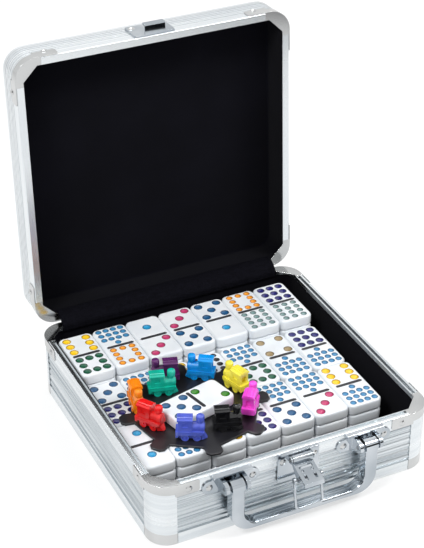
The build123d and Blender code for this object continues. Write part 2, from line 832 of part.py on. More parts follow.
# Hub: an eight-sided plate with a short tab at each corner
def hub():
    corner = hub_apothem / cos(pi / 8)
    plate = RegularPolygon(corner, 8, rotation=hub_turn)
    half = hub_tab_width / 2
    cut = hub_tab_chamfer
    tab = outline([(0, -half), (hub_tab_reach - cut, -half), (hub_tab_reach, -half + cut),
                   (hub_tab_reach, half - cut), (hub_tab_reach - cut, half), (0, half)])
    for step in range(8):
        plate = plate + Rot(0, 0, hub_turn + 45 * step) * tab
    solid = extrude(plate, hub_sheet)
    solid = chamfer(solid.faces().sort_by(Axis.Z)[-1].edges(), hub_edge)
    return Pos(hub_x, hub_y, stack_top) * solid.scale(hub_scale)


# The tile in the middle of the hub
def hub_tile():
    x = hub_x + hub_tile_place[0] * hub_scale
    y = hub_y + hub_tile_place[1] * hub_scale
    return Pos(x, y, hub_top) * Rot(0, 0, hub_tile_turn + 90) * tile(True)


# Wheel with a raised rim and hub on its upper face
def loco_wheel():
    dish = Cylinder(wheel_radius - wheel_rim, 2 * wheel_dish) - Cylinder(wheel_rim, 4 * wheel_dish)
    return Cylinder(wheel_radius, wheel_width) - Pos(0, 0, wheel_width / 2) * dish


# Wheels under a chassis, between the footplate and the rails
def loco_wheels():
    tall = step_low - chassis_low + wheel_rim
    made = Pos(0, 0, chassis_low + tall / 2) * Box(chassis_length, chassis_width, tall)
    middle = (wheel_track - wheel_width) / 2
    for x in (-wheel_base / 2, wheel_base / 2):
        for side in (-1, 1):
            made = made + Pos(x, side * middle, wheel_radius) * Rot(-90 * side, 0, 0) * loco_wheel()
    return made


# Footplate that runs the whole length, with a drop at the back and a line along each side
def loco_step():
    side = outline([(-step_back, step_low - step_drop), (-step_back + step_drop, step_low - step_drop),
                    (-step_back + step_drop + step_slope, step_low), (step_front - step_slope, step_low),
                    (step_front, step_low + step_slope), (step_front, step_high - step_slope),
                    (step_front - step_slope, step_high), (-step_back, step_high)])
    step = extrude(Plane.XZ.offset(-step_width / 2) * side, step_width)
    for edge in (-step_width / 2, step_width / 2):
        line = Box(step_back + step_front - 2 * step_drop, step_line, step_line)
        step = step - Pos((step_front - step_back) / 2, edge, step_high - 2 * step_line) * line
    return step


# Buffer beam and the sloping catcher below it
def loco_catcher():
    beam = Box(beam_sheet, beam_width, step_high - step_low - step_slope)
    beam = Pos(step_front, 0, (step_low + step_high) / 2) * beam
    back = step_front - beam_sheet
    front = step_front + catcher_reach
    half = catcher_width / 2
    side = outline([(back, catcher_low), (front, catcher_low), (step_front, step_low), (back, step_low)])
    solid = extrude(Plane.XZ.offset(-half) * side, catcher_width)
    plan = outline([(back, -half), (front, -half / 3), (front, half / 3), (back, half)])
    return beam + (solid & extrude(plan, loco_height))


# Boiler on its saddle, with the smokebox, its door and the chimney
def loco_boiler():
    along = Rot(0, 90, 0)
    length = boiler_front - boiler_back
    boiler = Pos(boiler_back + length / 2, 0, boiler_middle) * along * Cylinder(boiler_radius, length)
    smokebox = Pos(boiler_front - smokebox_length / 2, 0, boiler_middle) * along
    smokebox = smokebox * Cylinder(boiler_radius + smokebox_step, smokebox_length)
    smokebox = chamfer(smokebox.faces().sort_by(Axis.X)[-1].edges(), smokebox_step)
    door = Pos(boiler_front, 0, boiler_middle) * along * Cylinder(door_radius, 2 * door_rise)
    low = step_high - step_line
    saddle = Pos(boiler_back + length / 2, 0, (low + boiler_middle) / 2)
    saddle = saddle * Box(length, 2 * boiler_radius - step_line, boiler_middle - low)
    return boiler + smokebox + door + saddle + loco_chimney()


# Chimney: a neck that widens to a tall head with a rounded top
def loco_chimney():
    top = loco_height
    shoulder = chimney_shoulder
    profile = outline([(0, boiler_middle), (chimney_foot, boiler_middle), (chimney_foot, chimney_flare_low),
                       (chimney_head, chimney_flare_high), (chimney_head, shoulder),
                       (chimney_head * 0.9, shoulder + (top - shoulder) * 0.55),
                       (chimney_head * 0.62, top - (top - shoulder) * 0.12), (0, top)])
    return Pos(chimney_place, 0, 0) * revolve(Plane.XZ * profile, Axis.Z)


# Cab with a window on each side and an arched opening at the back
def loco_cab():
    length = cab_back + cab_front
    middle = (cab_front - cab_back) / 2
    low = step_high - step_line
    cab = Pos(middle, 0, (low + eaves_height) / 2) * Box(length, cab_width, eaves_height - low)
    for edge in (-cab_width / 2, cab_width / 2):
        cab = cab - Pos(middle, edge, window_middle) * Box(window_length, 2 * window_depth, window_height)
    arch_radius = doorway_width / 2
    tall = doorway_high - arch_radius - doorway_low
    doorway = Pos(-cab_back, 0, doorway_low + tall / 2) * Box(2 * doorway_depth, doorway_width, tall)
    arch = Rot(0, 90, 0) * Cylinder(arch_radius, 2 * doorway_depth)
    arch = Pos(-cab_back, 0, doorway_high - arch_radius) * arch
    return cab - doorway - arch + loco_roof()


# Low arched roof with raised strips along it
def loco_roof():
    radius = (roof_rise**2 + roof_width**2 / 4) / (2 * roof_rise)
    centre = eaves_height + roof_rise + roof_sheet - radius
    high = eaves_height + roof_rise + roof_sheet
    frame = Pos(0, (eaves_height + high) / 2) * Rectangle(roof_width, high - eaves_height)
    arch = Pos(0, centre) * Circle(radius) & frame
    start = roof_front - roof_length
    roof = side_plate(arch, start, roof_front)
    pitch = roof_width / (roof_strips + 1)
    for strip in range(roof_strips):
        y = (strip - (roof_strips - 1) / 2) * pitch
        face = centre + sqrt(radius**2 - y**2)
        roof = roof + Pos(start + roof_length / 2, y, face) * Box(roof_length, roof_strip, roof_strip)
    return roof


# A whole locomotive, one moulding
def locomotive():
    return loco_wheels() + loco_step() + loco_catcher() + loco_boiler() + loco_cab()


# Every piece of the body, by name
def body_pieces():
    rails, feet = foot_parts()
    base, walls = body_boards()
    cap_low = rim_low + seat_gap
    relief = cap_low + cap_corner_rise
    caps = corner_caps(body_height - cap_sheet, body_height, cap_low, body_height, cap_low - 1, relief)
    height = body_height - cap_rivet_drop
    rivets = corner_rivets(height)
    made = panels()
    made.update({
        "body_rim": body_rim(), "foot_rails": rails, "corner_feet": feet, "corner_posts": corner_posts(),
        "base_board": base, "wall_boards": walls, "body_lining": body_lining(),
        "body_corner_caps": caps - rivets, "body_rivets": rivets,
        "latch_base": latch_base(), "latch_pin": latch_pin(),
        "latch_rivets": front_rivets(latch_rivet_spread, [0], body_height - latch_rivet_drop, latch_sheet),
        "handle_bracket_left": handle_bracket(-handle_spread),
        "handle_bracket_right": handle_bracket(handle_spread),
        "handle_pin_left": handle_pin(-handle_spread), "handle_pin_right": handle_pin(handle_spread),
        "bracket_rivets": front_rivets(bracket_rivet_spread, [-handle_spread, handle_spread],
                                       handle_pivot_height - bracket_rivet_drop, bracket_sheet),
        "hinge_leaf_body": hinge_leaf(0, hinge_pin_radius, -1), "hinge_pin": hinge_pin(),
        "hinge_cloth": hinge_cloth(),
    })
    return made


# Every piece of the lid, by name, in its open place
def lid_pieces():
    panel, top, walls = lid_boards()
    cap_high = lid_low + rim_rail_height - seat_gap
    rivets = corner_rivets(lid_low + lid_rivet_rise)
    notch_low = cap_high - cap_corner_rise
    caps = corner_caps(lid_low, lid_low + cap_sheet, lid_low, cap_high, notch_low, cap_high + 1)
    catch, catch_rivet_height = catch_plate()
    made = {
        "lid_frame": lid_frame(), "lid_band": lid_band(), "lid_panel": panel, "lid_top_board": top,
        "lid_wall_boards": walls, "lid_lining": lid_lining(), "lid_corner_caps": caps - rivets,
        "lid_rivets": rivets, "catch_plate": catch,
        "catch_rivets": front_rivets(latch_rivet_spread, [0], catch_rivet_height, latch_sheet),
        "hinge_leaf_lid": hinge_leaf(1, hinge_pin_radius + turning_gap, 1),
    }
    return {name: opened(shape) for name, shape in made.items()}


# Every loose piece and everything that swings, by name
def other_pieces():
    made = {"handle": handle(), "bail_pin": bail_pin()}
    made.update({"latch_lever": latch_lever(), "latch_bail": latch_bail()})
    for layer in range(tile_layers):
        shown = layer == tile_layers - 1
        made[f"tiles_layer_{layer + 1}"] = tile_layer(layer, range(tile_rows), shown)
    made["tiles_top_row"] = tile_layer(tile_layers, [tile_rows - 1], True)
    made["hub"] = hub()
    made["hub_tile"] = hub_tile()
    one = locomotive().scale(hub_scale)
    for colour, (x, y, facing) in locomotives.items():
        place = Pos(hub_x + x * hub_scale, hub_y + y * hub_scale, hub_top)
        made[f"train_{colour}"] = place * Rot(0, 0, facing) * one
    return made


os.makedirs("parts", exist_ok=True)
pieces = {**body_pieces(), **lid_pieces(), **other_pieces()}
for name, shape in pieces.items():
    export_step(shape, f"parts/{name}.step")
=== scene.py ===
# Domino set in an open hard case: the looks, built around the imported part.
import json
import math

import bmesh
import bpy
import numpy as np
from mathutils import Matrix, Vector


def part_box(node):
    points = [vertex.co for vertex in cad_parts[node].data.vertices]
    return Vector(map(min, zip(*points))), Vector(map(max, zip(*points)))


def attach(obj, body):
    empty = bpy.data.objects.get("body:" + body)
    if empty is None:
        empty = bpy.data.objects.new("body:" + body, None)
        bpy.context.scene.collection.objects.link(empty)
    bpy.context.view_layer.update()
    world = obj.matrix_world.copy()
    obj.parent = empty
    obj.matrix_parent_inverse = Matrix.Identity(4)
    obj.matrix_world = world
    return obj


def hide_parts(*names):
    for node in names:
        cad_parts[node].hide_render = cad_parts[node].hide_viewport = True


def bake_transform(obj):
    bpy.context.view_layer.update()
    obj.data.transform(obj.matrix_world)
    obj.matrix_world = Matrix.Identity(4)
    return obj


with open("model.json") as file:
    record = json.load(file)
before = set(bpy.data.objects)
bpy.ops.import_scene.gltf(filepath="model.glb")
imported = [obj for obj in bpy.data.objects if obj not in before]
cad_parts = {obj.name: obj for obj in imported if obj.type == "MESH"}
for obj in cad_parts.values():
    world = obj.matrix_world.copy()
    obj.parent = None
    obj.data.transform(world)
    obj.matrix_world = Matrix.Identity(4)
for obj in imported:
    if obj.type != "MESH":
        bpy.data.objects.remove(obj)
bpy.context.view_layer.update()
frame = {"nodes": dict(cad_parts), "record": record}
nodes = frame["nodes"]
behaviour = frame["record"]["behaviour"]
bodyOf = {node: body for body, held in behaviour["bodies"].items() for node in held}
slotOf = {part["node"]: part["material_slot"] for part in frame["record"]["subparts"]}
print("frame loaded:", len(nodes), "nodes")


# Camera: where the photograph was taken from, in metres and degrees
view = {"place": (-0.3781, -0.7622, 0.6512), "azimuth": -25.75, "elevation": 32.57, "lens": 137.6,
        "sensor": 36, "shiftX": -0.0056, "shiftY": 0.0236, "reach": 20}


def placeCamera():
    camera = bpy.data.objects.new("camera", bpy.data.cameras.new("camera"))
    bpy.context.scene.collection.objects.link(camera)
    camera.location = view["place"]
    camera.rotation_euler = (math.radians(90 - view["elevation"]), 0, math.radians(view["azimuth"]))
    camera.data.sensor_width = view["sensor"]
    camera.data.sensor_fit = "HORIZONTAL"
    camera.data.lens = view["lens"]
    camera.data.shift_x = view["shiftX"]
    camera.data.shift_y = view["shiftY"]
    camera.data.clip_end = view["reach"]
    bpy.context.scene.camera = camera


placeCamera()
bpy.context.scene.view_settings.view_transform = "Standard"


# Linear colour of a six-figure screen colour: each channel over 255, with the screen's curve undone
def paint(code):
    parts = np.array([int(code[place:place + 2], 16) for place in (0, 2, 4)]) / 255
    linear = np.where(parts <= 0.04045, parts / 12.92, ((parts + 0.055) / 1.055) ** 2.4)
    return (*linear.tolist(), 1.0)


# Shader nodes written as expressions: a Wire is one socket, and its operators add Math nodes
class Wire:
    def __init__(self, board, socket):
        self.board = board
        self.socket = socket

    def maths(self, operation, other, flip=False):
        pair = (other, self) if flip else (self, other)
        return self.board.add("ShaderNodeMath", {"operation": operation}, {0: pair[0], 1: pair[1]})

    def __add__(self, other):
        return self.maths("ADD", other)

    def __radd__(self, other):
        return self.maths("ADD", other)

    def __rsub__(self, other):
        return self.maths("SUBTRACT", other, flip=True)

    def __mul__(self, other):
        return self.maths("MULTIPLY", other)

    def __rmul__(self, other):
        return self.maths("MULTIPLY", other)

    def between(self, low, high):  # smooth step from 0 at low to 1 at high
        settings = {"interpolation_type": "SMOOTHSTEP"}
        return self.board.add("ShaderNodeMapRange", settings, {0: self, 1: low, 2: high})


# One material, and the one method that adds its nodes
class Board:
    def __init__(self, name):
        self.material = bpy.data.materials.new(name)
        self.material.use_nodes = True
        self.tree = self.material.node_tree
        self.shader = self.tree.nodes["Principled BSDF"]

    def add(self, kind, settings=None, sockets=None, out=0):
        node = self.tree.nodes.new(kind)
        for key, value in (settings or {}).items():
            setattr(node, key, value)
        for key, value in (sockets or {}).items():
            self.plug(node.inputs[key], value)
        return Wire(self, node.outputs[out])

    def plug(self, socket, value):
        if isinstance(value, Wire):
            self.tree.links.new(value.socket, socket)
        else:
            socket.default_value = value

    def surface(self, sockets):
        for key, value in sockets.items():
            self.plug(self.shader.inputs[key], value)
        return self.material

    def place(self, stretch):  # object coordinates, stretched along each axis
        spot = self.add("ShaderNodeTexCoord", out="Object")
        return self.add("ShaderNodeMapping", {"vector_type": "POINT"}, {"Vector": spot, "Scale": stretch})

    def noise(self, scale, detail, stretch=(1, 1, 1)):
        sockets = {"Vector": self.place(stretch), "Scale": scale, "Detail": detail}
        return self.add("ShaderNodeTexNoise", {}, sockets)

    def bump(self, height, strength, distance):
        return self.add("ShaderNodeBump", {}, {"Height": height, "Strength": strength, "Distance": distance})

    def colourMix(self, factor, first, second):  # numbered, as a Mix node repeats its sockets' names
        return self.add("ShaderNodeMix", {"data_type": "RGBA"}, {0: factor, 6: first, 7: second}, out=2)


# Metals of the case; the lid stands on edge in the open case, so its grain runs along other axes
metals = {
    "rail": {"colour": "e6eaec", "deep": "d3d9dd", "rough": 0.26, "grain": (6, 6, 300), "bump": 0.0},
    "ribbed": {"colour": "dfe4e7", "deep": "a4adb3", "rough": 0.28, "grain": (10, 10, 700), "bump": 0.05},
    "lidRail": {"colour": "e6eaec", "deep": "d7dce0", "rough": 0.26, "grain": (6, 300, 6), "bump": 0.0},
    "lidRibbed": {"colour": "e2e7ea", "deep": "ccd3d8", "rough": 0.28, "grain": (6, 300, 6), "bump": 0.0},
    "nickel": {"colour": "cfd0d0", "deep": "b4b6b7", "rough": 0.15, "grain": (30, 30, 30), "bump": 0.0},
    "chrome": {"colour": "ccd1d6", "deep": "a3abb2", "rough": 0.06, "grain": (40, 40, 40), "bump": 0.02},
    "steel": {"colour": "a2a4a8", "deep": "74777c", "rough": 0.25, "grain": (40, 40, 40), "bump": 0.03},
}
metalTone = {"cloud": 14.0, "cloudShare": 0.25, "low": 0.3, "high": 0.7, "roughSpan": 0.4, "depth": 0.0002}


# Tone: a share of soft clouds and the rest of drawn grain; the grain also swings the roughness
def metal(kind):
    look = metals[kind]
    board = Board(kind)
    cloud = board.noise(metalTone["cloud"], 1.0)
    grain = board.noise(1.0, 1.5, look["grain"])
    share, span = metalTone["cloudShare"], metalTone["roughSpan"]
    tone = (cloud * share + grain * (1 - share)).between(metalTone["low"], metalTone["high"])
    return board.surface({"Base Color": board.colourMix(tone, paint(look["deep"]), paint(look["colour"])),
                          "Metallic": 1.0, "Roughness": look["rough"] * (1 - span / 2 + grain * span),
                          "Normal": board.bump(grain, look["bump"], metalTone["depth"])})


# Short black pile on the inner walls: dark, slightly blue, with soft brushed patches
velvet = {"colour": "020207", "brushed": "07070f", "patch": 16.0, "patchShare": 0.7, "pile": 2600.0,
          "sheen": 0.02, "depth": 0.0003}


def pile():
    board = Board("blackPile")
    patch = board.noise(velvet["patch"], 4.0).between(0.38, 0.66)
    fibre = board.noise(velvet["pile"], 2.0)
    tone = patch * velvet["patchShare"] + fibre * (1 - velvet["patchShare"])
    colour = board.colourMix(tone, paint(velvet["colour"]), paint(velvet["brushed"]))
    return board.surface({"Base Color": colour, "Roughness": 0.95, "Sheen Weight": velvet["sheen"],
                          "Sheen Roughness": 0.7, "Specular IOR Level": 0.03,
                          "Normal": board.bump(fibre, 0.5, velvet["depth"])})


# Cloth of the strip over the hinge: the mean of threads one way and threads the other way
weave = {"colour": "050509", "thread": "0e0e15", "across": 2600, "along": 300, "depth": 0.0003}


def woven():
    board = Board("wovenStrip")
    across, along = weave["across"], weave["along"]
    warp = board.noise(1.0, 2.0, (across, along, along))
    weft = board.noise(1.0, 2.0, (along, across, across))
    thread = warp * 0.5 + weft * 0.5
    colour = board.colourMix(thread.between(0.4, 0.6), paint(weave["colour"]), paint(weave["thread"]))
    return board.surface({"Base Color": colour, "Roughness": 0.9, "Specular IOR Level": 0.06,
                          "Normal": board.bump(thread, 0.5, weave["depth"])})


# Boards: the dark and light ends of each one's fleck, and the scale of the fleck
boards = {"fibre": ("5a4230", "8a6c50"), "fibreFleck": 700.0,
          "faced": ("101013", "1a1a1f"), "facedFleck": 1400.0}


def fibreboard():
    board = Board("fibreboard")
    fleck = board.noise(boards["fibreFleck"], 4.0).between(0.35, 0.7)
    dark, light = (paint(code) for code in boards["fibre"])
    return board.surface({"Base Color": board.colourMix(fleck, dark, light), "Roughness": 0.85})


def facedBoard():
    board = Board("facedBoard")
    fleck = board.noise(boards["facedFleck"], 3.0)
    dark, light = (paint(code) for code in boards["faced"])
    return board.surface({"Base Color": board.colourMix(fleck.between(0.4, 0.6), dark, light),
                          "Roughness": 0.7, "Normal": board.bump(fleck, 0.2, 0.0002)})


# Plastics: the black hub, and the colours of the little locomotives
hubLook = {"colour": "141417", "haze": "1c1c21", "hazeScale": 30.0, "rough": 0.3, "hazeRough": 0.08,
           "coat": 0.2}
trainPaints = {"purple": "5a2163", "teal": "0cbfa6", "light_blue": "059cee", "yellow": "fff04c",
               "pink": "ff55e2", "black": "151518", "periwinkle": "5768d2", "red": "e81414",
               "orange": "ff9010"}
candy = {"swirl": 120.0, "deep": 0.82, "rough": 0.26, "glow": 0.45, "glowReach": 0.004, "coat": 0.35}


def hubPlastic():
    board = Board("hubPlastic")
    haze = board.noise(hubLook["hazeScale"], 3.0).between(0.3, 0.7)
    colour = board.colourMix(haze, paint(hubLook["colour"]), paint(hubLook["haze"]))
    rough = hubLook["rough"] + haze * hubLook["hazeRough"]
    return board.surface({"Base Color": colour, "Roughness": rough, "Coat Weight": hubLook["coat"]})


def candyPlastic(name):
    board = Board("plastic_" + name)
    swirl = board.noise(candy["swirl"], 2.0).between(0.3, 0.7)
    light = paint(trainPaints[name])
    deep = (*(channel * candy["deep"] for channel in light[:3]), 1.0)
    return board.surface({"Base Color": board.colourMix(swirl, deep, light), "Roughness": candy["rough"],
                          "Subsurface Weight": candy["glow"], "Subsurface Radius": (candy["glowReach"],) * 3,
                          "Subsurface Scale": 0.5, "Coat Weight": candy["coat"], "Coat Roughness": 0.08})


# Which finish each material slot of the record gets; a locomotive's slot has its finish's own name
finishOf = {"aluminium": "rail", "ribbed_sheet": "ribbed", "lid_sheet": "ribbed", "lining": "pile",
            "hinge_cloth": "woven", "base_sheet": "faced", "tile": "hub"}
lidFinishOf = {"aluminium": "lidRail", "ribbed_sheet": "lidRibbed", "lid_sheet": "lidRibbed"}


def dressNodes():
    made = {kind: metal(kind) for kind in metals}
    made.update({"pile": pile(), "woven": woven(), "board": fibreboard(), "faced": facedBoard(),
                 "hub": hubPlastic()})
    made.update({"train_" + colour: candyPlastic(colour) for colour in trainPaints})
    for node, slot in slotOf.items():
        name = finishOf.get(slot, slot)
        if bodyOf[node] == "lid":
            name = lidFinishOf.get(slot, name)
        nodes[node].data.materials.clear()
        nodes[node].data.materials.append(made[name])
    return made


finishes = dressNodes()
print("nodes dressed")


# Pressed, bent and moulded pieces, with the width of their rounded edges in metres
softEdges = {"handle": 0.0, "latch_lever": 0.00016, "latch_base": 0.00016, "latch_bail": 0.0,
             "catch_plate": 0.00018, "handle_bracket_left": 0.0002, "handle_bracket_right": 0.0002,
             "body_corner_caps": 0.00012, "lid_corner_caps": 0.00012, "body_rivets": 0.0, "lid_rivets": 0.0,
             "latch_rivets": 0.0, "bracket_rivets": 0.0, "catch_rivets": 0.0, "hub": 0.0003}
softEdges.update({"train_" + colour: 0.00028 for colour in trainPaints})
softLook = {"sharp": math.radians(32), "segments": 2, "join": 2e-6, "flat": math.radians(0.5)}


# The piece takes the node's place: the node is hidden and the piece rides on the node's body
def standFor(obj, node):
    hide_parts(node)
    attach(obj, bodyOf[node])


def smooth(mesh):
    mesh.polygons.foreach_set("use_smooth", np.ones(len(mesh.polygons), bool))


def linkObject(name, mesh):
    obj = bpy.data.objects.new(name, mesh)
    bpy.context.scene.collection.objects.link(obj)
    return obj


# A copy of the solid with its loose triangles merged, shaded smooth, and its sharp edges rounded
def soften(node, width):
    mesh = nodes[node].data.copy()
    joined = bmesh.new()
    joined.from_mesh(mesh)
    bmesh.ops.remove_doubles(joined, verts=joined.verts, dist=softLook["join"])
    bmesh.ops.dissolve_limit(joined, angle_limit=softLook["flat"], verts=joined.verts, edges=joined.edges)
    joined.to_mesh(mesh)
    joined.free()
    smooth(mesh)
    mesh.set_sharp_from_angle(angle=softLook["sharp"])
    obj = linkObject("soft" + "".join(word.title() for word in node.split("_")), mesh)
    if width:
        bevel = obj.modifiers.new("roundedEdge", "BEVEL")
        bevel.width = width
        bevel.segments = softLook["segments"]
        bevel.limit_method = "ANGLE"
        bevel.angle_limit = softLook["sharp"]
        bevel.harden_normals = True
    standFor(obj, node)


for node, width in softEdges.items():
    soften(node, width)
print("pressed and moulded pieces softened")


lidHinge = next(joint for joint in behaviour["joints"] if joint["name"] == "lid_hinge")


# Where a point of the shut lid stands with the lid open: Y and Z turned about the hinge by the angle that
# the lid can shut
def openLid(points):
    turn = math.radians(-lidHinge["range_deg"][0])
    middle = np.array(lidHinge["pos_m"])
    across, up = points[..., 1] - middle[1], points[..., 2] - middle[2]
    y = middle[1] + across * math.cos(turn) + up * math.sin(turn)
    z = middle[2] - across * math.sin(turn) + up * math.cos(turn)
    return np.stack([points[..., 0], y, z], -1)


def makeObject(name, points, faces, finish):
    mesh = bpy.data.meshes.new(name)
    mesh.from_pydata(points.reshape(-1, 3).tolist(), [], faces)
    mesh.update()
    smooth(mesh)
    mesh.materials.append(finish)
    return linkObject(name, mesh)


# Linings: black pile glued to the boards, with rounded upper edges and a soft fold at the floor. The walls
# bow in by up to wave, and two sines round the case, the second one climbing, vary that bow about its
# steady share
lining = {"half": (0.095, 0.094), "corner": 0.014, "outer": 0.0040, "inner": 0.0047, "fold": 0.0014,
          "wave": 0.00022, "waves": (7, 17), "shift": 0.6, "climb": 90, "steady": 0.6, "arcSteps": 9,
          "sideSteps": 30, "turnSteps": 7, "wallSteps": 12,
          "body": {"under": 0.0020, "floor": 0.0025, "edge": 0.0416},
          "lid": {"under": 0.0684, "floor": 0.0679, "edge": 0.0463}}


# A rounded rectangle as its corners' centres and outward directions: a point at any inset is its centre plus
# its direction times the corner radius less the inset
def roundedPath():
    halfX, halfY = (half - lining["corner"] for half in lining["half"])
    signs = [(1, 1), (-1, 1), (-1, -1), (1, -1)]
    share = np.linspace(0, 1, lining["sideSteps"] + 2)[1:-1, None]
    centres, ways = [], []
    for quarter, (sx, sy) in enumerate(signs):
        angle = np.linspace(0, np.pi / 2, lining["arcSteps"]) + quarter * np.pi / 2
        ways.append(np.stack([np.cos(angle), np.sin(angle)], -1))
        start = np.array([sx * halfX, sy * halfY])
        end = np.array(signs[(quarter + 1) % 4]) * (halfX, halfY)
        centres.append(np.tile(start, (lining["arcSteps"], 1)))
        centres.append(start + (end - start) * share)
        ways.append(np.tile(ways[-1][-1], (lining["sideSteps"], 1)))
    return np.concatenate(centres), np.concatenate(ways)


# Corner radius and height from the foot of the outer face, over the rounded edge and down to the floor's fold
def liningProfile(under, floor, edge):
    up = 1 if edge > floor else -1
    outer, inner = (lining["corner"] - lining[side] for side in ("outer", "inner"))
    half = (outer - inner) / 2
    turn = np.linspace(0, np.pi, lining["turnSteps"])
    bend = np.linspace(0, np.pi / 2, lining["turnSteps"])
    fold = lining["fold"]
    wall = np.linspace(edge - up * half, floor + up * fold, lining["wallSteps"])[1:-1]
    reach = np.concatenate([[outer], outer - half + half * np.cos(turn), np.full(wall.size, inner),
                            inner - fold * (1 - np.cos(bend))])
    height = np.concatenate([[under], edge - up * half + up * half * np.sin(turn), wall,
                             floor + up * fold * (1 - np.sin(bend))])
    slack = np.zeros(reach.size)
    slack[turn.size + 1:turn.size + 1 + wall.size] = np.sin(np.linspace(0, np.pi, wall.size))
    return reach, height, slack, up


# Quads between rings of points, closed round each ring
def loopFaces(rows, columns):
    index = np.arange(rows * columns).reshape(rows, columns)
    ahead = np.roll(index, -1, axis=1)
    return np.stack([index[:-1], ahead[:-1], ahead[1:], index[1:]], -1).reshape(-1, 4)


# Rings of the rounded rectangle, one for each step of the profile, closed by the underside and the floor
def lineCase(name, side, node, turned):
    centres, ways = roundedPath()
    reach, height, slack, up = liningProfile(**lining[side])
    along = np.linspace(0, 2 * np.pi, len(centres), endpoint=False)
    slow, quick = lining["waves"]
    climb = height[:, None] * lining["climb"]
    wave = np.sin(slow * along + lining["shift"]) * 0.5 + np.sin(quick * along + climb) * 0.5
    bow = lining["steady"] + (1 - lining["steady"]) * wave
    reach = reach[:, None] - lining["wave"] * slack[:, None] * bow
    flat = centres[None] + ways[None] * reach[..., None]
    points = np.concatenate([flat, np.broadcast_to(height[:, None, None], reach.shape + (1,))], -1)
    rows, columns = reach.shape
    faces = loopFaces(rows, columns).tolist()
    faces += [np.arange(columns)[::-1].tolist(), (np.arange(columns) + (rows - 1) * columns).tolist()]
    if up < 0:
        faces = [face[::-1] for face in faces]
    obj = makeObject(name, openLid(points) if turned else points, faces, finishes["pile"])
    standFor(obj, node)
    return obj


bodyPile = lineCase("bodyLining", "body", "body_lining", False)
lidPile = lineCase("lidLining", "lid", "lid_lining", True)
print("linings laid")


# Quads of a grid of points that is stored row by row
def gridFaces(rows, columns, start=0):
    index = start + np.arange(rows * columns).reshape(rows, columns)
    quads = np.stack([index[:-1, :-1], index[1:, :-1], index[1:, 1:], index[:-1, 1:]], -1)
    return quads.reshape(-1, 4)


# The points round the edge of such a grid, in order
def rim(rows, columns, start=0):
    index = start + np.arange(rows * columns).reshape(rows, columns)
    return np.concatenate([index[:-1, 0], index[-1, :-1], index[:0:-1, -1], index[0, :0:-1]])


# Cloth strip over the hinge: glued to the back wall and to the lid, with a slack fold between
hingeStrip = {"half": 0.080, "thick": 0.0005, "glued": 0.0045, "gluedLid": 0.0046, "sag": 0.00055,
              "out": (-0.62, 0.78), "lift": 0.0001, "fullness": 0.8, "ripple": 0.00018, "waves": (210, 67),
              "shift": 0.4, "foldSteps": 15, "gluedSteps": 5, "columns": 97}


# A line up the wall, over both rims and onto the lid, its middle bowed out by a sine, carried sideways with a
# ripple that is the product of two sines
def layHingeStrip():
    low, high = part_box("hinge_cloth")
    thick, steps = hingeStrip["thick"], hingeStrip["gluedSteps"]
    wallY, lidZ = low.y + thick / 2, high.z - thick / 2
    foot, wallTop = (wallY, low.z + hingeStrip["lift"]), (wallY, low.z + hingeStrip["glued"])
    lidEdge, lidEnd = (high.y - hingeStrip["gluedLid"], lidZ), (high.y, lidZ)
    share = np.linspace(0, 1, hingeStrip["foldSteps"])
    out = np.array(hingeStrip["out"])
    slack = np.sin(np.pi * share) ** hingeStrip["fullness"]
    rise = np.linspace(foot, wallTop, steps + 1)[:-1]
    fold = np.array(wallTop) + np.subtract(lidEdge, wallTop) * share[:, None]
    fold += out * (hingeStrip["sag"] * slack)[:, None]
    line = np.concatenate([rise, fold, np.linspace(lidEdge, lidEnd, steps + 1)[1:]])
    for turn in range(2):
        line[1:-1] = (line[:-2] + 2 * line[1:-1] + line[2:]) / 4
    x = np.linspace(-hingeStrip["half"], hingeStrip["half"], hingeStrip["columns"])
    fine, broad = hingeStrip["waves"]
    ripple = hingeStrip["ripple"] * np.sin(x * fine + hingeStrip["shift"]) * np.sin(x * broad)
    bulge = np.concatenate([np.zeros(steps), slack, np.zeros(steps)])
    flat = line[None] + out * (ripple[:, None] * bulge[None])[..., None]
    points = np.concatenate([np.broadcast_to(x[:, None, None], flat.shape[:2] + (1,)), flat], -1)
    obj = makeObject("hingeStrip", points, gridFaces(*flat.shape[:2]).tolist(), finishes["woven"])
    wall = obj.modifiers.new("clothThickness", "SOLIDIFY")
    wall.thickness = thick
    wall.offset = 0.0
    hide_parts("hinge_cloth")
    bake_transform(obj)


# Tiles: white resin with coloured dimples and a bar across the middle, in metres; hubTurn is in degrees.
# The thickness is measured on the tile that the hub carries
low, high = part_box("hub_tile")
tileSize = {"width": 0.0237, "length": 0.0464, "thick": high.z - low.z}
tileLook = {"gap": 0.0003, "corner": 0.0040, "edge": 0.0017, "step": 0.0004, "plainStep": 0.02,
            "turnSteps": 5, "flatSteps": 4, "dimple": 0.00115, "bar": (0.0190, 0.0025),
            "barDepth": 0.0005, "barSlope": 0.0004, "hubTurn": 103.6}

# Colours and gloss of a tile; the dark pip colour and its share paint shade onto each pip's rim, standing in
# for the shade inside the dimple. pipEdge, pipMiddle and barEdge are millimetres past the edge of a pip or of
# the bar
tileShades = {"white": ("e2e7ec", "edf0f3"), "bar": "26262b", "pipRimShade": "101418", "rimShadeShare": 0.62,
              "rough": 0.16, "pipRough": -0.06, "barRough": 0.3, "pipCoat": 0.5, "cloud": 45.0,
              "glow": 0.08, "glowReach": 0.002, "pipEdge": (-0.12, 0.06), "pipMiddle": (-1.1, -0.2),
              "barEdge": (-0.1, 0.1)}
pipPaints = {1: "2f9cce", 2: "35801c", 3: "c23f70", 4: "a48f68", 5: "265a86", 6: "f8ca22", 7: "c02a2a",
             8: "235f47", 9: "2a2a70", 10: "f5a032", 11: "1e1e22", 12: "7d9a9a", 13: "3f88b8"}
pipSizes = {8: 0.0056, 9: 0.0055, 10: 0.0047, 11: 0.0044, 12: 0.0044, 13: 0.0044}
pips = {"wide": 0.0060, "pitch": 0.0068, "rowPitch": 0.0052, "pitchOfFour": 0.0052, "pitchOfThree": 0.0066}

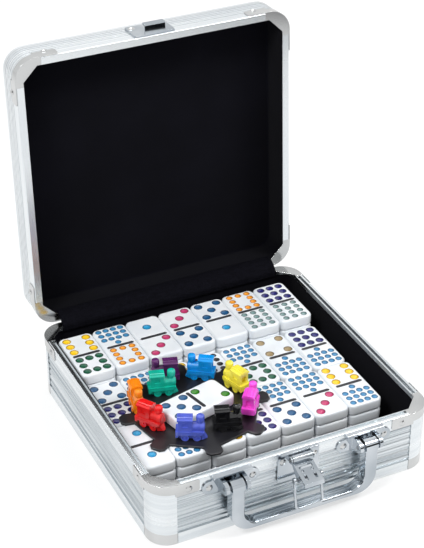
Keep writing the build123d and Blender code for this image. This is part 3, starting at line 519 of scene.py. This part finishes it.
# Rows of the crowded patterns: how many pips, and how many rows from the middle
pipRows = {10: [(3, -1.5), (2, -0.5), (2, 0.5), (3, 1.5)], 11: [(3, -1.5), (3, -0.5), (2, 0.5), (3, 1.5)],
           12: [(3, -1.5), (3, -0.5), (3, 0.5), (3, 1.5)], 13: [(4, -1.5), (4, -0.5), (4, 0.5), (1, 1.5)]}


# Pip centres of one half, X across the tile and Y towards the bar: places in a square of nine, or in
# crowded rows
def pipPlaces(count):
    nine = [(i, j) for i in (-1, 0, 1) for j in (-1, 0, 1)]
    six = [spot for spot in nine if spot[0]]
    four = [spot for spot in six if spot[1]]
    slope = [(-1, 1), (0, 0), (1, -1)]
    plans = {0: [], 1: [(0, 0)], 2: [slope[0], slope[2]], 3: slope, 4: four, 5: four + [(0, 0)], 6: six,
             7: six + [(0, 0)], 8: [spot for spot in nine if spot != (0, 0)], 9: nine}
    if count in plans:
        return np.array(plans[count]).reshape(-1, 2) * pips["pitch"]
    spots = []
    for across, row in pipRows[count]:
        span = pips["pitchOfFour"] if across == 4 else pips["pitchOfThree"]
        ends = 2 if across == 2 else across - 1
        offsets = np.linspace(-ends / 2, ends / 2, across) if across > 1 else np.zeros(1)
        spots += [(offset * span, row * pips["rowPitch"]) for offset in offsets]
    return np.array(spots)


# A closed tile on a grid: its middle is a flat sheet, and the outer rings of the grid run over the rounded
# corners and edges, down the sides and in under the tile
def tileSurface(width, length, thick, step):
    corner, edge = tileLook["corner"], tileLook["edge"]
    turn = np.linspace(0, np.pi / 2, tileLook["turnSteps"])[1:]
    flat = np.linspace(0, corner - edge, tileLook["flatSteps"])[1:]
    reach = np.concatenate([[0], flat, corner - edge + edge * np.sin(turn), [corner],
                            corner - edge + edge * np.cos(turn)])
    drop = np.concatenate([[0], flat * 0, edge * (1 - np.cos(turn)), [thick - edge],
                           thick - edge + edge * np.sin(turn)])
    rings = len(reach) - 1

    def axisSteps(half):
        count = max(int(round(2 * half / step)), 1)
        inner = np.linspace(-half, half, count + 1)
        ring = np.concatenate([-np.arange(rings, 0, -1), np.zeros(count + 1), np.arange(1, rings + 1)])
        return ring, np.concatenate([np.full(rings, -half), inner, np.full(rings, half)])

    ringX, innerX = axisSteps(width / 2 - corner)
    ringY, innerY = axisSteps(length / 2 - corner)
    kx, ky = np.meshgrid(np.abs(ringX), np.abs(ringY), indexing="ij")
    level = np.maximum(kx, ky).astype(int)
    safe = np.maximum(level, 1)
    angle = np.where(kx >= ky, np.pi / 4 * ky / safe, np.pi / 2 - np.pi / 4 * kx / safe)
    x = innerX[:, None] + np.sign(ringX)[:, None] * np.cos(angle) * reach[level]
    y = innerY[None, :] + np.sign(ringY)[None, :] * np.sin(angle) * reach[level]
    return x, y, -drop[level]


# Distance to the edge of the nearest pip, below 0 inside it, then how deep its bowl is and the half's
# colour. The bowl is 1 less the square of the distance from the pip's middle over its radius, times the
# pip's share of a wide one
def dimples(x, y, halves):
    near = np.full(x.shape, 1.0)
    bowl = np.zeros(x.shape)
    colour = np.zeros(x.shape + (4,))
    for sign, count in zip((1, -1), halves):
        radius = pipSizes.get(count, pips["wide"]) / 2
        for across, along in sign * pipPlaces(count):
            gap = np.hypot(x - across, y - (sign * tileSize["length"] / 4 - along)) - radius
            near = np.minimum(near, gap)
            hollow = 1 - np.clip(1 + gap / radius, 0, 1) ** 2
            bowl = np.maximum(bowl, 2 * radius / pips["wide"] * hollow)
        colour[(y * sign) >= 0] = paint(pipPaints.get(count, "ffffff"))
    return near, bowl, colour


# Distance to the edge of the bar, a slot with round ends, below 0 inside it
def barGap(x, y):
    length, width = tileLook["bar"]
    along = np.maximum(np.abs(x) - (length - width) / 2, 0)
    return np.hypot(along, y) - width / 2


# One mesh of several tiles; placed lists centre, turn in degrees and the two counts, if any
def tileMesh(name, placed, step):
    points, faces, edges, bars, colours, start = [], [], [], [], [], 0
    x0, y0, z0 = tileSurface(tileSize["width"], tileSize["length"], tileSize["thick"], step)
    for (cx, cy, top), turn, halves in placed:
        z, near, bar = z0, np.full(x0.shape, 1.0), np.full(x0.shape, 1.0)
        colour = np.ones(x0.shape + (4,))
        if halves:
            near, bowl, colour = dimples(x0, y0, halves)
            bar = barGap(x0, y0)
            onTop = z0 > -1e-7
            z = z - onTop * tileLook["dimple"] * bowl
            z = z - onTop * tileLook["barDepth"] * np.clip(-bar / tileLook["barSlope"], 0, 1)
        cosTurn, sinTurn = math.cos(math.radians(turn)), math.sin(math.radians(turn))
        x, y = cx + cosTurn * x0 - sinTurn * y0, cy + sinTurn * x0 + cosTurn * y0
        points.append(np.stack([x, y, top + z], -1).reshape(-1, 3))
        faces += gridFaces(*x0.shape, start).tolist()
        faces.append(rim(*x0.shape, start)[::-1].tolist())
        edges.append(near.ravel())
        bars.append(bar.ravel())
        colours.append(colour.reshape(-1, 4))
        start += x0.size
    obj = makeObject(name, np.concatenate(points), faces, tileFinish)
    for key, values in (("pipEdge", edges), ("barEdge", bars)):
        layer = obj.data.attributes.new(key, "FLOAT", "POINT")
        layer.data.foreach_set("value", np.concatenate(values) * 1000)
    tint = obj.data.attributes.new("pipTint", "FLOAT_COLOR", "POINT")
    tint.data.foreach_set("color", np.concatenate(colours).ravel())
    return obj


# White resin; a pip carries painted shade, darker towards its edge where the dimple's hollow would be shaded,
# and the bar is near black
def tileResin():
    board = Board("tileResin")
    edge = board.add("ShaderNodeAttribute", {"attribute_name": "pipEdge"}, out="Fac")
    bar = board.add("ShaderNodeAttribute", {"attribute_name": "barEdge"}, out="Fac")
    tint = board.add("ShaderNodeAttribute", {"attribute_name": "pipTint"}, out="Color")
    cloud = board.noise(tileShades["cloud"], 2.0).between(0.3, 0.7)
    white = board.colourMix(cloud, *(paint(code) for code in tileShades["white"]))
    pip = 1 - edge.between(*tileShades["pipEdge"])
    middle = 1 - edge.between(*tileShades["pipMiddle"])
    slot = 1 - bar.between(*tileShades["barEdge"])
    # Painted shade: each pip's rim is mixed towards a near-black colour in place of the shade of its hollow
    deep = board.colourMix(tileShades["rimShadeShare"], tint, paint(tileShades["pipRimShade"]))
    resin = board.colourMix(pip, white, board.colourMix(middle, deep, tint))
    rough = tileShades["rough"] + pip * tileShades["pipRough"] + slot * tileShades["barRough"]
    return board.surface({"Base Color": board.colourMix(slot, resin, paint(tileShades["bar"])),
                          "Roughness": rough, "Subsurface Weight": tileShades["glow"],
                          "Subsurface Radius": (tileShades["glowReach"],) * 3, "Subsurface Scale": 0.4,
                          "Coat Weight": pip * tileShades["pipCoat"]})


tileFinish = tileResin()

# Counts on the tiles that show, left to right, as back half and front half
tops = {
    "back": [(6, 8), (13, 10), (1, 3), (3, 5), (5, 1), (10, 12), (9, 12)],
    "middle": [(5, 9), (13, 8), (6, 2), (11, 4), (13, 8), (4, 13), (9, 13)],
    "front": [(1, 1), (7, 13), (3, 6), (8, 9), (13, 5), (13, 3), (6, 13)],
}
hubTileTop = (5, 2)

# The lower tiles lie a little out of line
tileSlip = {"shift": 0.00009, "turn": 0.12, "seed": 4}


def layTiles():
    low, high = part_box("tiles_layer_4")
    width, length, gap = tileSize["width"], tileSize["length"], tileLook["gap"]
    fine, plain = tileLook["step"], tileLook["plainStep"]
    draw, slip, twist = np.random.default_rng(tileSlip["seed"]), tileSlip["shift"], tileSlip["turn"]
    columns = [low.x + width / 2 + column * (width + gap) for column in range(7)]
    rows = [low.y + length / 2 + row * (length + gap) for row in range(3)]

    def row(y, top, counts):
        return [((x, y, top), 0, halves) for x, halves in zip(columns, counts)]

    for layer in range(1, 4):
        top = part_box(f"tiles_layer_{layer}")[1].z
        placed = [((x + draw.uniform(-slip, slip), y + draw.uniform(-slip, slip), top),
                   draw.uniform(-twist, twist), None) for y in rows for x in columns]
        standFor(tileMesh(f"tilesLayer{layer}", placed, plain), f"tiles_layer_{layer}")
    standFor(tileMesh("tilesFourthFront", row(rows[0], high.z, tops["front"]), fine), "tiles_layer_4")
    standFor(tileMesh("tilesFourthMiddle", row(rows[1], high.z, tops["middle"]), fine), "tiles_layer_4")
    standFor(tileMesh("tilesFourthBack", row(rows[2], high.z, [None] * 7), plain), "tiles_layer_4")
    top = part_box("tiles_top_row")[1].z
    standFor(tileMesh("tilesTopRow", row(rows[2], top, tops["back"]), fine), "tiles_top_row")
    low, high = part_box("hub_tile")
    centre = ((low.x + high.x) / 2, (low.y + high.y) / 2, high.z)
    standFor(tileMesh("hubTile", [(centre, tileLook["hubTurn"], hubTileTop)], fine), "hub_tile")


layTiles()
print("tiles laid")
layHingeStrip()
print("hinge strip laid")


# Studio: a pale floor, a white surround and three soft lamps above
lamps = {"left": {"place": (-0.9, -0.5, 1.25), "size": 0.4, "power": 10.5},
         "right": {"place": (0.75, -0.55, 1.2), "size": 0.35, "power": 7.5},
         "back": {"place": (0.1, 0.9, 1.3), "size": 0.6, "power": 6.0}}
studio = {"aim": (0, 0, 0.06), "world": 0.74, "floorHalf": 4, "floorPaint": (0.93, 0.93, 0.93, 1),
          "floorShade": 0.45}


def lightStudio():
    for name, look in lamps.items():
        lamp = bpy.data.lights.new(name, "AREA")
        lamp.size = look["size"]
        lamp.energy = look["power"]
        obj = linkObject(name, lamp)
        obj.location = look["place"]
        across, along, down = np.subtract(studio["aim"], look["place"])
        obj.rotation_euler = (math.atan2(math.hypot(across, along), -down), 0, math.atan2(-across, along))


# The surround is white where the camera, a reflection or glass sees it, and dimmer as light on the object
def whiteSurround():
    world = bpy.data.worlds.new("surround")
    bpy.context.scene.world = world
    world.use_nodes = True
    tree = world.node_tree
    background = tree.nodes["Background"]
    background.inputs["Color"].default_value = (1, 1, 1, 1)
    rays = tree.nodes.new("ShaderNodeLightPath")
    seen = rays.outputs["Is Camera Ray"]
    for name in ("Is Glossy Ray", "Is Transmission Ray"):
        both = tree.nodes.new("ShaderNodeMath")
        both.operation = "ADD"
        both.use_clamp = True
        tree.links.new(seen, both.inputs[0])
        tree.links.new(rays.outputs[name], both.inputs[1])
        seen = both.outputs[0]
    level = tree.nodes.new("ShaderNodeMapRange")
    tree.links.new(seen, level.inputs[0])
    level.inputs[3].default_value = studio["world"]
    level.inputs[4].default_value = 1.0
    tree.links.new(level.outputs[0], background.inputs["Strength"])


# The floor is partly lit by itself where it is seen, so that it fades to white and keeps a soft shadow
def layFloor():
    half = studio["floorHalf"]
    mesh = bpy.data.meshes.new("floor")
    mesh.from_pydata([(-half, -half, 0), (half, -half, 0), (half, half, 0), (-half, half, 0)], [],
                     [(0, 1, 2, 3)])
    board = Board("paleFloor")
    board.surface({"Base Color": studio["floorPaint"], "Roughness": 0.9})
    seen = (board.add("ShaderNodeLightPath", out="Is Camera Ray")
            + board.add("ShaderNodeLightPath", out="Is Glossy Ray"))
    glow = board.add("ShaderNodeEmission", {}, {"Strength": 1.0})
    mix = board.add("ShaderNodeMixShader", {}, {0: seen.between(0.0, 1.0) * (1 - studio["floorShade"]),
                                                1: Wire(board, board.shader.outputs[0]), 2: glow})
    board.tree.links.new(mix.socket, board.tree.nodes["Material Output"].inputs["Surface"])
    mesh.materials.append(board.material)
    linkObject("floor", mesh)


# Dark cards that only reflections see, so that polished metal has something dark to mirror: middle, width and
# height, and turn in degrees about the upright
cardPaint = "15171a"
cards = [((-0.42, -0.32, 0.16), (0.30, 0.26), 52), ((0.34, -0.46, 0.13), (0.34, 0.2), -36),
         ((-0.02, -0.62, 0.62), (0.5, 0.12), 0), ((-0.62, 0.12, 0.4), (0.16, 0.6), 95)]


def standCards():
    board = Board("darkCard")
    board.surface({"Base Color": paint(cardPaint), "Roughness": 1.0, "Specular IOR Level": 0.0})
    for number, (place, (wide, high), turn) in enumerate(cards):
        mesh = bpy.data.meshes.new(f"card{number}")
        x, z = wide / 2, high / 2
        mesh.from_pydata([(-x, 0, -z), (x, 0, -z), (x, 0, z), (-x, 0, z)], [], [(0, 1, 2, 3)])
        mesh.materials.append(board.material)
        obj = linkObject(f"card{number}", mesh)
        obj.location = place
        obj.rotation_euler = (0, 0, -math.radians(turn))
        obj.visible_camera = False
        obj.visible_diffuse = False
        obj.visible_shadow = False


whiteSurround()
lightStudio()
layFloor()
standCards()
print("studio lit")
